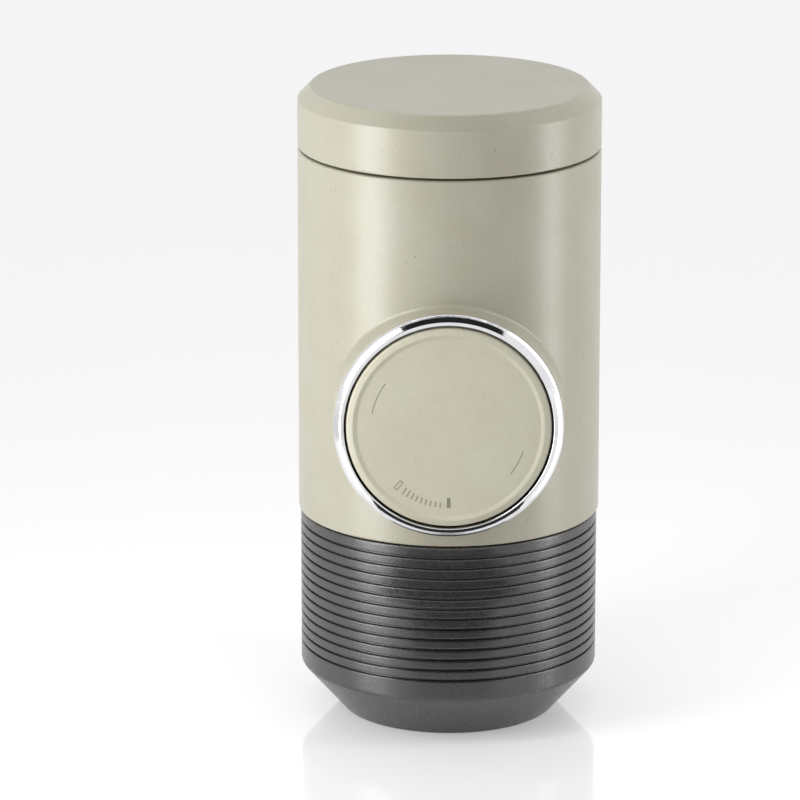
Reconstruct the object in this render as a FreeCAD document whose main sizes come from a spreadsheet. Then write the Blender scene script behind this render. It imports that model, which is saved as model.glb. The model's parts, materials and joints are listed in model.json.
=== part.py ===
import FreeCAD, Part
import math
import os
from types import SimpleNamespace

import Sketcher

# Handheld manual espresso maker. Millimetres, +Z up, origin at the centre of the cup's foot.
# The knob and the pump lie along Y at the height of the knob's axis, with the knob towards -Y.
# In the pieces turned to that axis, local +Z is the depth towards the front.

V = FreeCAD.Vector
UP = V(0, 0, 1)
TO_FRONT = FreeCAD.Rotation(V(1, 0, 0), 90)

DRIVING = {
    # outer form
    "body_radius": 32.5,
    "body_wall": 2.4,
    "body_rise": 79.6,
    "cup_rise": 44.8,
    "cup_gap": 0.3,
    "lid_gap": 0.5,
    "lid_rise": 13.1,
    "lid_bevel_across": 2.8,
    "lid_bevel_drop": 2.9,
    "edge_round": 0.5,
    "boss_radius": 24.4,
    "boss_proud": 4.5,
    "boss_margin": 3.7,
    "boss_wall": 1.4,
    "boss_blend": 0.8,
    # cup
    "cup_inset": 0.4,
    "cup_wall": 2.0,
    "cup_floor": 1.6,
    "foot_radius": 22.8,
    "foot_round": 1.2,
    "cone_rise": 10.5,
    "rib_count": 13,
    "rib_pitch": 2.27,
    "rib_first": 2.5,
    "groove_width": 0.45,
    "groove_depth": 0.75,
    "groove_lip": 0.3,
    # knob and ring
    "bezel_inset": 0.2,
    "bezel_gap": 0.45,
    "bezel_rise": 2.1,
    "bezel_edge": 0.35,
    "bezel_bulge": 4.0,
    "bezel_spigot": 4.0,
    "collar_wall": 1.35,
    "collar_lip": 1.7,
    "knob_proud": 2.3,
    "cap_thick": 3.3,
    "cap_edge_across": 1.4,
    "cap_edge_drop": 0.5,
    "cap_edge_bulge": 3.0,
    "knob_dish": 0.35,
    "cap_pocket_radius": 5.5,
    "cap_pocket": 2.1,
    "carrier_face": 2.0,
    "skirt_wall": 1.8,
    "skirt_back": 7.0,
    "hub_radius": 6.0,
    "hub_length": 8.0,
    "lug_proud": 0.8,
    "lug_length": 2.0,
    "lug_angle": 12.0,
    "lug_side_play": 1.0,
    "knob_swing": 43.0,
    # fits
    "running_fit": 0.1,
    "snug_fit": 0.05,
    "face_gap": 0.1,
    "side_play": 0.3,
    # pump
    "bulkhead_back": -3.0,
    "bulkhead_wall": 9.0,
    "spring_seat_thick": 1.0,
    "washer_width": 2.6,
    "coil_inset": 3.2,
    "coil_play": 2.35,
    "coil_wire": 1.3,
    "coil_turns": 7,
    "cylinder_wall": 2.5,
    "cylinder_mouth": 1.0,
    "end_play": 0.68,
    "end_thick": 3.0,
    "flange_width": 4.0,
    "flange_thick": 3.0,
    "piston_length": 8.0,
    "piston_play": 5.5,
    "piston_fit": 0.2,
    "seal_wire": 1.8,
    "seal_inset": 2.2,
    "rod_radius": 2.5,
    "rod_shoulder": 1.1,
    "screw_head_radius": 4.0,
    "screw_head": 1.4,
    "screw_radius": 1.45,
    "screw_length": 8.0,
    "inlet_radius": 2.4,
    "inlet_boss": 4.2,
    "outlet_radius": 2.0,
    "valve_wall": 1.0,
    "port_rise": 1.8,
    # frame inside the body
    "shell_play": 0.2,
    "deck_clear": 1.6,
    "deck_thick": 2.0,
    "barrel_wall": 2.0,
    "web_inset": 3.9,
    "web_thick": 3.0,
    "floor_above": 2.4,
    "floor_thick": 2.5,
    "post_radius": 2.8,
    "front_post_rise": 5.0,
    # tank
    "tank_wall": 1.7,
    "tank_floor": 1.6,
    "tank_top_drop": 2.0,
    "neck_inset": 2.7,
    "neck_wall": 1.8,
    "neck_rise": 8.0,
    "neck_flange": 2.0,
    "thread_play": 0.3,
    "lid_top_wall": 2.4,
    "liner_disc": 1.6,
    "gasket_width": 2.6,
    "tube_wall": 1.4,
    "filter_radius": 5.0,
    "filter_thick": 0.8,
    "filter_hole": 0.5,
    # outlet valve
    "valve_bore": 3.4,
    "valve_top": 0.8,
    "poppet_thick": 1.4,
    "poppet_play": 0.3,
    "stem_radius": 0.9,
    "stem_length": 2.2,
    "valve_coil_radius": 2.1,
    "valve_wire": 0.5,
    "valve_turns": 4,
    # brewing head
    "plate_thick": 2.2,
    "socket_inset": 5.9,
    "socket_wall": 3.0,
    "socket_floor": 5.6,
    "socket_skirt": 5.0,
    "channel_width": 3.0,
    "channel_deep": 2.8,
    "pierce_thick": 1.2,
    "pin_circle": 5.0,
    "pin_root": 1.2,
    "pin_tip": 0.35,
    "pin_length": 3.3,
    "pin_count": 3,
    "gasket_thick": 1.6,
    "holder_play": 0.8,
    "holder_wall": 1.6,
    "chamber_step": 3.4,
    "chamber_taper": 3.0,
    "chamber_rise": 28.6,
    "flange_recess": 1.8,
    "grid_thick": 1.2,
    "grid_hole": 0.7,
    "grid_pitch": 3.6,
    "head_wall": 1.9,
    "head_floor": 2.0,
    "head_flange": 6.0,
    "head_neck_wall": 2.2,
    "head_slope": 4.0,
    "head_bevel": 1.2,
    "head_drop": 0.2,
    "washer_thick": 0.6,
    "nozzle_bore": 1.8,
    "nozzle_wall": 1.1,
    "nozzle_lip": 1.7,
    "nozzle_length": 2.4,
    "ring_wire": 2.2,
    "ring_groove": 2.4,
    # base screws
    "base_screw_head": 2.2,
    "base_screw_head_rise": 1.5,
    "base_screw_radius": 1.3,
    "base_screw_length": 8.0,
}


class Size:
    """A length that holds its expression over the sheet together with its present value."""

    def __init__(self, text, value):
        self.text = text
        self.value = value

    def __add__(self, other):
        return combined(self, "+", other, self.value + worth(other))

    def __sub__(self, other):
        return combined(self, "-", other, self.value - worth(other))

    def __mul__(self, other):
        return combined(self, "*", other, self.value * worth(other))

    def __truediv__(self, other):
        return combined(self, "/", other, self.value / worth(other))

    def __neg__(self):
        return Size("(0 - " + self.text + ")", -self.value)


def worth(item):
    return item.value if isinstance(item, Size) else item


def words(item):
    return item.text if isinstance(item, Size) else repr(item)


def combined(left, sign, right, value):
    return Size("(" + left.text + " " + sign + " " + words(right) + ")", value)


def root_of(size):
    return Size("sqrt(" + size.text + ")", math.sqrt(size.value))


def chord_depth(radius, half_width):
    """How far from the axis a circle is that far across."""
    return root_of(radius * radius - half_width * half_width)


def cosine(angle):
    return Size("cos(" + angle.text + ")", math.cos(math.radians(angle.value)))


def sine(angle):
    return Size("sin(" + angle.text + ")", math.sin(math.radians(angle.value)))


def fill_sheet(document, values):
    """Write every driving size into the sheet and return them as named sizes."""
    sheet = document.addObject("Spreadsheet::Sheet", "sizes")
    named = SimpleNamespace()
    for row, (name, value) in enumerate(values.items(), start=1):
        sheet.set("A" + str(row), name)
        sheet.set("B" + str(row), str(value))
        sheet.setAlias("B" + str(row), name)
        setattr(named, name, Size("sizes." + name, value))
    document.recompute()
    return named


doc = FreeCAD.newDocument("espresso_maker")
dim = fill_sheet(doc, DRIVING)
NIL = Size("0", 0.0)

# Heights on the main axis
body_bottom = dim.cup_rise + dim.cup_gap
body_top = body_bottom + dim.body_rise
lid_bottom = body_top + dim.lid_gap
lid_top = lid_bottom + dim.lid_rise
knob_axis = body_bottom + dim.boss_margin + dim.boss_radius
deck_top = knob_axis + dim.boss_radius + dim.deck_clear
floor_bottom = body_bottom + dim.floor_above
floor_top = floor_bottom + dim.floor_thick
neck_top = body_top + dim.neck_rise
liner_top = lid_top - dim.lid_top_wall

# Radii inside the body, and depths on the knob's axis
shell_bore = dim.body_radius - dim.body_wall
frame_radius = shell_bore - dim.shell_play
cup_radius = dim.body_radius - dim.cup_inset
cup_bore = cup_radius - dim.cup_wall
neck_radius = shell_bore - dim.neck_inset
boss_reach = dim.body_radius + dim.boss_proud
boss_bore = dim.boss_radius - dim.boss_wall
wall_inside = chord_depth(shell_bore, dim.boss_radius)
boss_root = (wall_inside + chord_depth(dim.body_radius, dim.boss_radius)) / 2
knob_radius = boss_bore - dim.snug_fit - dim.collar_wall
knob_face = boss_reach + dim.knob_proud
cap_back = knob_face - dim.cap_thick
carrier_front = cap_back - dim.carrier_face
skirt_radius = knob_radius - dim.running_fit
collar_bore = skirt_radius + dim.running_fit
skirt_bore = skirt_radius - dim.skirt_wall
bulkhead_front = dim.bulkhead_back + dim.bulkhead_wall
collar_front = boss_reach - dim.bezel_spigot
lug_stop = collar_front - dim.collar_lip
stroke = lug_stop - dim.side_play - dim.lug_length - dim.skirt_back
coil_radius = skirt_bore - dim.coil_inset
cylinder_radius = coil_radius - dim.coil_wire / 2 - dim.coil_play
pump_bore = cylinder_radius - dim.cylinder_wall
bore_end = dim.end_thick + dim.end_play - chord_depth(frame_radius, cylinder_radius)
piston_back = bore_end + dim.piston_play
piston_front = piston_back + dim.piston_length
cylinder_front = piston_front + stroke + dim.cylinder_mouth
port_back = -bore_end - dim.inlet_boss - dim.side_play
hub_back = carrier_front - dim.hub_length
valve_radius = dim.valve_bore + dim.valve_wall

# Radii of the brewing head, from the cup's bore inwards
socket_radius = cup_bore - dim.socket_inset
socket_bore = socket_radius - dim.socket_wall
holder_radius = socket_bore - dim.holder_play
recess_radius = holder_radius - dim.holder_wall
chamber_bottom = recess_radius - dim.chamber_step
chamber_top = chamber_bottom - dim.chamber_taper


def origin_plane(body, role):
    return next(f for f in body.Origin.OriginFeatures if f.Role == role)


def arc_between(here, there, radius, side):
    """The shorter arc between two points; side 1 bulges to the left of the way, -1 to the right."""
    way = there - here
    left = V(-way.y, way.x, 0).normalize()
    sagitta = radius - math.sqrt(radius**2 - (way.Length / 2) ** 2)
    return Part.Arc(here, (here + there) / 2 + left * (sagitta * side), there)


def outline(body, name, corners, role="XZ_Plane", lift=NIL):
    """A closed sketch on one of the body's planes.

    Each corner is (across, along), or (across, along, radius, side) where an arc leads to the next.
    """
    sketch = body.newObject("Sketcher::SketchObject", name)
    sketch.AttachmentSupport = [(origin_plane(body, role), "")]
    sketch.MapMode = "FlatFace"
    sketch.setExpression("AttachmentOffset.Base.z", lift.text)
    ends = []
    for index, corner in enumerate(corners):
        after = corners[(index + 1) % len(corners)]
        here = V(corner[0].value, corner[1].value, 0)
        there = V(after[0].value, after[1].value, 0)
        if len(corner) == 2:
            sketch.addGeometry(Part.LineSegment(here, there), False)
            ends.append((1, 2))
        else:
            sketch.addGeometry(arc_between(here, there, corner[2].value, corner[3]), False)
            ends.append((1, 2) if corner[3] < 0 else (2, 1))
    for index in range(len(corners)):
        after = (index + 1) % len(corners)
        sketch.addConstraint(
            Sketcher.Constraint("Coincident", index, ends[index][1], after, ends[after][0])
        )
    for index, corner in enumerate(corners):
        bind_point(sketch, index, ends[index][0], corner[0], corner[1])
        if len(corner) > 2:
            bind(sketch, Sketcher.Constraint("Radius", index, corner[2].value), corner[2])
    return sketch


def bind(sketch, constraint, size):
    number = sketch.addConstraint(constraint)
    sketch.setExpression("Constraints[" + str(number) + "]", size.text)


def bind_point(sketch, geometry, end, across, along):
    bind(sketch, Sketcher.Constraint("DistanceX", -1, 1, geometry, end, across.value), across)
    bind(sketch, Sketcher.Constraint("DistanceY", -1, 1, geometry, end, along.value), along)


def rings(body, name, circles, role="XY_Plane", lift=NIL):
    """A sketch of circles, each (across, along, radius)."""
    sketch = body.newObject("Sketcher::SketchObject", name)
    sketch.AttachmentSupport = [(origin_plane(body, role), "")]
    sketch.MapMode = "FlatFace"
    sketch.setExpression("AttachmentOffset.Base.z", lift.text)
    for index, (across, along, radius) in enumerate(circles):
        centre = V(across.value, along.value, 0)
        sketch.addGeometry(Part.Circle(centre, UP, radius.value), False)
        bind_point(sketch, index, 3, across, along)
        bind(sketch, Sketcher.Constraint("Radius", index, radius.value), radius)
    return sketch


def new_body(name, front=False):
    body = doc.addObject("PartDesign::Body", name)
    body.Label = name
    if front:
        body.Placement = FreeCAD.Placement(V(0, 0, knob_axis.value), TO_FRONT)
        body.setExpression("Placement.Base.z", knob_axis.text)
    return body


def turned(name, corners, front=False):
    """A solid of revolution about the main axis or, at the front, about the knob's axis."""
    body = new_body(name, front)
    turn = body.newObject("PartDesign::Revolution", name + "_turn")
    turn.Profile = outline(body, name + "_outline", corners)
    turn.ReferenceAxis = (turn.Profile[0], ["V_Axis"])
    turn.Angle = 360
    doc.recompute()
    return body


def add(body, name, sketch, length, reverse=False):
    """Pad a sketch along its normal, or against it in reverse, and see that the solid grew."""
    before = body.Shape.Volume if body.Tip else 0.0
    pad = body.newObject("PartDesign::Pad", name)
    pad.Profile = sketch
    pad.setExpression("Length", length.text)
    pad.Reversed = reverse
    doc.recompute()
    if body.Shape.Volume <= before:
        raise RuntimeError(name + " adds nothing")
    return pad


def cut(body, name, sketch, length, along=True):
    """Pocket a sketch along its normal, or against it, and see that the solid shrank."""
    before = body.Shape.Volume
    pocket = body.newObject("PartDesign::Pocket", name)
    pocket.Profile = sketch
    pocket.setExpression("Length", length.text)
    pocket.Reversed = along
    doc.recompute()
    if body.Shape.Volume >= before:
        raise RuntimeError(name + " cuts nothing")
    return pocket


def edges_at(shape, places):
    """Names of the edges that pass through the given points."""
    names = []
    for place in places:
        vertex = Part.Vertex(place)
        reach = [edge.distToShape(vertex)[0] for edge in shape.Edges]
        names.append("Edge" + str(reach.index(min(reach)) + 1))
    return sorted(set(names))


def eased(body, name, places, size, kind="Fillet"):
    """Round or bevel the edges through the given points, in the body's own frame."""
    base = body.Tip
    feature = body.newObject("PartDesign::" + kind, name)
    feature.Base = (base, edges_at(base.Shape, places))
    feature.setExpression("Radius" if kind == "Fillet" else "Size", size.text)
    doc.recompute()
    return feature


def on_plane(radius, angle):
    """Coordinates of a point on a circle, with the angle counted from local +X."""
    return radius * cosine(angle), radius * sine(angle)


def sector(body, name, inner, outer, start, stop, lift):
    """A sketch of a ring's stretch between two angles of under a half turn."""
    first_low = on_plane(inner, start)
    first_high = on_plane(outer, start)
    last_high = on_plane(outer, stop)
    last_low = on_plane(inner, stop)
    corners = [
        first_low,
        first_high + (outer, -1),
        last_high,
        last_low + (inner, 1),
    ]
    return outline(body, name, corners, "XY_Plane", lift)


def tube_between(low, high, bore, radius):
    """Corners of a plain ring's section."""
    return [(bore, low), (radius, low), (radius, high), (bore, high)]


# Outer casings


def make_body_shell():
    body = turned(
        "body_shell", tube_between(body_bottom, body_top, shell_bore, dim.body_radius)
    )
    disc = [(NIL, knob_axis, dim.boss_radius)]
    circle = rings(body, "boss_circle", disc, "XZ_Plane", boss_root)
    add(body, "boss", circle, boss_reach - boss_root)
    hole = rings(body, "boss_hole", [(NIL, knob_axis, boss_bore)], "XZ_Plane", wall_inside)
    cut(body, "boss_opening", hole, boss_reach - wall_inside)
    root_depth = chord_depth(dim.body_radius, dim.boss_radius)
    blend = V(dim.boss_radius.value, -root_depth.value, knob_axis.value)
    eased(body, "boss_blend", [blend], dim.boss_blend)
    rims = [V(0, dim.body_radius.value, level.value) for level in (body_bottom, body_top)]
    eased(body, "rim_rounds", rims, dim.edge_round)
    return body


def make_lid_shell():
    bevel_start = lid_top - dim.lid_bevel_drop
    face_radius = dim.body_radius - dim.lid_bevel_across
    corners = [
        (shell_bore, lid_bottom),
        (dim.body_radius, lid_bottom),
        (dim.body_radius, bevel_start),
        (face_radius, lid_top),
        (NIL, lid_top),
        (NIL, liner_top),
        (shell_bore - dim.lid_bevel_across, liner_top),
        (shell_bore, liner_top - dim.lid_bevel_drop),
    ]
    body = turned("lid_shell", corners)
    low = V(0, -dim.body_radius.value, lid_bottom.value)
    side = V(0, -dim.body_radius.value, bevel_start.value)
    top = V(0, -face_radius.value, lid_top.value)
    eased(body, "lid_rounds", [low, side, top], dim.edge_round)
    return body


def make_cup_shell():
    inner_cone = dim.foot_radius - dim.cup_wall
    corners = [
        (NIL, NIL),
        (dim.foot_radius, NIL),
        (cup_radius, dim.cone_rise),
        (cup_radius, dim.cup_rise),
        (cup_bore, dim.cup_rise),
        (cup_bore, dim.cone_rise + dim.cup_floor),
        (inner_cone, dim.cup_floor),
        (NIL, dim.cup_floor),
    ]
    body = turned("cup_shell", corners)
    foot = V(0, -dim.foot_radius.value, 0)
    shoulder = V(0, -cup_radius.value, dim.cone_rise.value)
    eased(body, "cup_rounds", [foot, shoulder], dim.foot_round)
    rim = V(0, -cup_radius.value, dim.cup_rise.value)
    eased(body, "rim_round", [rim], dim.edge_round)
    cut_cup_grooves(body)
    return body


def cut_cup_grooves(body):
    """One rounded groove round the wall, repeated down it."""
    before = body.Shape.Volume
    middle = dim.cup_rise - dim.rib_first
    half = dim.groove_width / 2
    lip = dim.groove_lip
    outside = cup_radius + lip
    bottom = cup_radius - dim.groove_depth
    corners = [
        (outside, middle - half - lip),
        (outside, middle + half + lip),
        (cup_radius, middle + half + lip, lip, 1),
        (cup_radius - lip, middle + half),
        (bottom, middle + half),
        (bottom, middle - half),
        (cup_radius - lip, middle - half, lip, 1),
        (cup_radius, middle - half - lip),
    ]
    groove = body.newObject("PartDesign::Groove", "rib_groove")
    groove.Profile = outline(body, "groove_outline", corners)
    groove.ReferenceAxis = (groove.Profile[0], ["V_Axis"])
    groove.Angle = 360
    doc.recompute()
    pattern = body.newObject("PartDesign::LinearPattern", "rib_grooves")
    pattern.Originals = [groove]
    pattern.Direction = (origin_plane(body, "Z_Axis"), [""])
    pattern.Reversed = True
    pattern.setExpression("Length", (dim.rib_pitch * (dim.rib_count - 1)).text)
    pattern.setExpression("Occurrences", dim.rib_count.text)
    body.Tip = pattern
    doc.recompute()
    if body.Shape.Volume >= before:
        raise RuntimeError("the grooves cut nothing")


# Ring and knob


def make_bezel_ring():
    bore = knob_radius + dim.bezel_gap
    radius = dim.boss_radius - dim.bezel_inset
    seat = boss_reach
    corners = [
        (bore, seat - dim.bezel_spigot),
        (boss_bore - dim.snug_fit, seat - dim.bezel_spigot),
        (boss_bore - dim.snug_fit, seat),
        (radius, seat),
        (radius, seat + dim.bezel_edge, dim.bezel_bulge, -1),
        (bore, seat + dim.bezel_rise),
    ]
    return turned("bezel_ring", corners, front=True)


def make_knob_cap():
    flat = knob_radius - dim.cap_edge_across
    corners = [
        (dim.cap_pocket_radius, cap_back),
        (knob_radius, cap_back),
        (knob_radius, knob_face - dim.cap_edge_drop, dim.cap_edge_bulge, -1),
        (flat, knob_face),
        (flat - dim.knob_dish, knob_face - dim.knob_dish),
        (NIL, knob_face - dim.knob_dish),
        (NIL, cap_back + dim.cap_pocket - dim.knob_dish),
        (dim.cap_pocket_radius, cap_back + dim.cap_pocket - dim.knob_dish),
    ]
    body = turned("knob_cap", corners, front=True)
    dish = V(flat.value - dim.knob_dish.value, 0, knob_face.value - dim.knob_dish.value)
    eased(body, "dish_round", [dish], dim.knob_dish * 1.5)
    return body


def lug_angles(middle):
    half = dim.lug_angle / 2
    return Size(str(middle), middle) - half, Size(str(middle), middle) + half


LUG_PLACES = (90.0, 270.0)


def make_knob_carrier():
    hub_bore = dim.rod_radius + dim.running_fit
    corners = [
        (hub_bore, hub_back),
        (dim.hub_radius, hub_back),
        (dim.hub_radius, carrier_front),
        (skirt_bore, carrier_front),
        (skirt_bore, dim.skirt_back),
        (skirt_radius, dim.skirt_back),
        (skirt_radius, cap_back),
        (hub_bore, cap_back),
    ]
    body = turned("knob_carrier", corners, front=True)
    for number, middle in enumerate(LUG_PLACES):
        start, stop = lug_angles(middle)
        inner = skirt_radius - dim.skirt_wall / 2
        outer = skirt_radius + dim.lug_proud
        name = "lug_" + str(number)
        sketch = sector(body, name + "_outline", inner, outer, start, stop, dim.skirt_back)
        add(body, name, sketch, dim.lug_length)
    return body


def make_guide_collar():
    corners = tube_between(
        bulkhead_front, collar_front, collar_bore, boss_bore - dim.snug_fit
    )
    body = turned("guide_collar", corners, front=True)
    for number, middle in enumerate(LUG_PLACES):
        start, stop = lug_angles(middle)
        inner = collar_bore - dim.lug_proud / 2
        outer = skirt_radius + dim.lug_proud + dim.running_fit
        name = "channel_" + str(number)
        first = start - dim.lug_side_play
        last = stop + dim.knob_swing + dim.lug_side_play
        sketch = sector(body, name + "_outline", inner, outer, first, last, bulkhead_front)
        cut(body, name, sketch, lug_stop - bulkhead_front)
    return body


def make_washers():
    bore = coil_radius - dim.washer_width / 2
    radius = coil_radius + dim.washer_width / 2
    thick = dim.spring_seat_thick
    turned(
        "thrust_washer",
        tube_between(carrier_front - thick, carrier_front, bore, radius),
        front=True,
    )
    turned(
        "spring_seat",
        tube_between(bulkhead_front, bulkhead_front + thick, bore, radius),
        front=True,
    )


# Pump


def make_pump_cylinder():
    flange_front = dim.bulkhead_back
    flange_back = flange_front - dim.flange_thick
    flange_radius = cylinder_radius + dim.flange_width
    corners = [
        (pump_bore, bore_end),
        (cylinder_radius, bore_end),
        (cylinder_radius, flange_back),
        (flange_radius, flange_back),
        (flange_radius, flange_front),
        (cylinder_radius, flange_front),
        (cylinder_radius, cylinder_front),
        (pump_bore, cylinder_front),
    ]
    body = turned("pump_cylinder", corners, front=True)
    add_ports(body)
    return body


def add_ports(body):
    """Two bosses on the cylinder, the inlet above and the outlet below, each with its hole."""
    back = -port_back
    reach = cylinder_radius + dim.port_rise
    start = pump_bore + dim.cylinder_wall / 2
    up = rings_on_side(body, "inlet_boss_circle", back, dim.inlet_boss, start)
    add(body, "inlet_port_boss", up, reach - start, reverse=True)
    down = rings_on_side(body, "outlet_boss_circle", back, valve_radius, -start)
    add(body, "outlet_port_boss", down, reach - start)
    hole = rings_on_side(body, "inlet_hole_circle", back, dim.inlet_radius, NIL)
    cut(body, "inlet_hole", hole, reach, along=False)
    drain = rings_on_side(body, "outlet_hole_circle", back, dim.outlet_radius, NIL)
    cut(body, "outlet_hole", drain, reach)


def rings_on_side(body, name, back, radius, lift):
    """A circle on the plane square to local Y, at a depth on the pump's axis."""
    return rings(body, name, [(NIL, back, radius)], "XZ_Plane", -lift)


def make_cylinder_cap():
    spigot = bore_end + dim.end_thick / 3
    back = bore_end - dim.end_thick
    corners = [
        (NIL, back),
        (cylinder_radius, back),
        (cylinder_radius, bore_end),
        (pump_bore - dim.snug_fit, bore_end),
        (pump_bore - dim.snug_fit, spigot),
        (NIL, spigot),
    ]
    return turned("cylinder_cap", corners, front=True)


def make_piston():
    radius = pump_bore - dim.piston_fit
    bore = dim.rod_radius + dim.snug_fit
    seal_radius = dim.seal_wire / 2
    slot = pump_bore - dim.face_gap - dim.seal_wire
    corners = [(bore, piston_back), (radius, piston_back)]
    for middle in seal_places():
        corners += [
            (radius, middle - seal_radius - dim.snug_fit),
            (slot - dim.snug_fit, middle - seal_radius - dim.snug_fit),
            (slot - dim.snug_fit, middle + seal_radius + dim.snug_fit),
            (radius, middle + seal_radius + dim.snug_fit),
        ]
    corners += [(radius, piston_front), (bore, piston_front)]
    turned("piston_head", corners, front=True)
    loop = pump_bore - dim.face_gap - seal_radius
    torus_group("piston_seals", seal_places(), loop, seal_radius, front=True)


def seal_places():
    return [piston_back + dim.seal_inset, piston_front - dim.seal_inset]


def torus_group(name, places, loop, wire, front=False):
    """One or more seal rings of round section in one node."""
    loops = []
    for number, place in enumerate(places):
        ring = doc.addObject("Part::Torus", name + "_loop_" + str(number))
        ring.setExpression("Radius1", loop.text)
        ring.setExpression("Radius2", wire.text)
        ring.setExpression("Placement.Base.z", place.text)
        loops.append(ring)
    group = doc.addObject("Part::Compound", name)
    group.Label = name
    group.Links = loops
    if front:
        group.Placement = FreeCAD.Placement(V(0, 0, knob_axis.value), TO_FRONT)
        group.setExpression("Placement.Base.z", knob_axis.text)
    doc.recompute()
    return group


def make_rod_and_screw():
    shoulder = dim.rod_radius + dim.rod_shoulder
    shoulder_front = hub_back - dim.face_gap
    rod_front = cap_back + dim.face_gap / 2
    hole = dim.screw_radius + dim.snug_fit
    corners = [
        (NIL, piston_back),
        (dim.rod_radius, piston_back),
        (dim.rod_radius, piston_front),
        (shoulder, piston_front),
        (shoulder, shoulder_front),
        (dim.rod_radius, shoulder_front),
        (dim.rod_radius, rod_front),
        (hole, rod_front),
        (hole, rod_front - dim.screw_length),
        (NIL, rod_front - dim.screw_length),
    ]
    turned("piston_rod", corners, front=True)
    tip = rod_front - dim.screw_length + dim.face_gap
    head_back = rod_front
    corners = [
        (NIL, tip),
        (dim.screw_radius, tip),
        (dim.screw_radius, head_back),
        (dim.screw_head_radius, head_back),
        (dim.screw_head_radius, head_back + dim.screw_head),
        (NIL, head_back + dim.screw_head),
    ]
    turned("rod_screw", corners, front=True)


# Frame


def make_pump_chassis():
    """Floor, deck, barrel and bulkhead in one moulding, with posts for the base screws."""
    body = new_body("pump_chassis")
    plates = rings(body, "floor_circle", [(NIL, NIL, frame_radius)], lift=floor_bottom)
    add(body, "floor", plates, dim.floor_thick)
    bottom = floor_bottom
    half = frame_radius - dim.web_inset
    web = [(-half, bottom), (half, bottom), (half, deck_top), (-half, deck_top)]
    web_sketch = outline(body, "web_outline", web, "XZ_Plane", dim.bulkhead_back)
    add(body, "web", web_sketch, dim.web_thick)
    deck = rings(body, "deck_circle", [(NIL, NIL, frame_radius)], lift=deck_top)
    add(body, "deck", deck, dim.deck_thick, reverse=True)
    barrel_radius = boss_bore + dim.barrel_wall
    barrel_front = chord_depth(frame_radius, barrel_radius)
    circle = [(NIL, knob_axis, barrel_radius)]
    barrel = rings(body, "barrel_circle", circle, "XZ_Plane", dim.bulkhead_back)
    add(body, "barrel", barrel, barrel_front - dim.bulkhead_back)
    hollow = rings(
        body, "barrel_hole", [(NIL, knob_axis, boss_bore)], "XZ_Plane", bulkhead_front
    )
    cut(body, "barrel_bore", hollow, barrel_front - bulkhead_front)
    through = [(NIL, knob_axis, cylinder_radius + dim.snug_fit)]
    hole = rings(body, "cylinder_hole", through, "XZ_Plane", dim.bulkhead_back)
    cut(body, "cylinder_opening", hole, dim.bulkhead_wall)
    add_posts(body)
    clear_start = boss_root - dim.side_play
    clear = [(NIL, knob_axis, dim.boss_radius + dim.side_play)]
    notch = rings(body, "boss_clearance", clear, "XZ_Plane", clear_start)
    cut(body, "boss_notch", notch, frame_radius - clear_start)
    cut_passages(body)
    return body


def screw_places():
    """The four base screws, rear pair first, midway between the socket and the plate's edge."""
    offset = (socket_radius + frame_radius) / 2 * math.sqrt(0.5)
    return [(offset, offset), (-offset, offset), (offset, -offset), (-offset, -offset)]


def add_posts(body):
    places = screw_places()
    rear = [(x, y, dim.post_radius) for x, y in places[:2]]
    front = [(x, y, dim.post_radius) for x, y in places[2:]]
    tall = rings(body, "rear_post_circles", rear, lift=floor_bottom)
    add(body, "rear_posts", tall, deck_top - floor_bottom)
    short = rings(body, "front_post_circles", front, lift=floor_bottom)
    add(body, "front_posts", short, dim.floor_thick + dim.front_post_rise)


def cut_passages(body):
    """Holes for the inlet tube, the outlet channel and the base screws."""
    inlet = [(NIL, port_back, dim.inlet_radius + dim.tube_wall + dim.snug_fit)]
    above = rings(body, "inlet_tube_hole", inlet, lift=deck_top)
    cut(body, "inlet_passage", above, dim.deck_thick, along=False)
    drain = [(NIL, port_back, dim.channel_width / 2)]
    below = rings(body, "outlet_tube_hole", drain, lift=floor_bottom)
    cut(body, "outlet_passage", below, dim.floor_thick)
    thread = dim.base_screw_radius + dim.snug_fit
    places = [(x, y, thread) for x, y in screw_places()]
    depth = dim.base_screw_length - screw_seat_wall() + dim.side_play
    holes = rings(body, "screw_hole_circles", places, lift=floor_bottom)
    cut(body, "screw_holes", holes, depth)


def screw_seat_wall():
    """Thickness of the base plate left above a screw's head."""
    return dim.plate_thick - dim.base_screw_head_rise


def make_base_plate():
    low = floor_bottom - dim.plate_thick
    bore = socket_radius + dim.snug_fit
    body = turned("base_plate", tube_between(low, floor_bottom, bore, frame_radius))
    clear = dim.base_screw_radius + dim.running_fit
    sunk = dim.base_screw_head + dim.running_fit
    holes = rings(body, "hole_circles", [(x, y, clear) for x, y in screw_places()], lift=low)
    cut(body, "holes", holes, dim.plate_thick)
    seats = rings(body, "seat_circles", [(x, y, sunk) for x, y in screw_places()], lift=low)
    cut(body, "seats", seats, dim.base_screw_head_rise)
    return body


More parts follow.
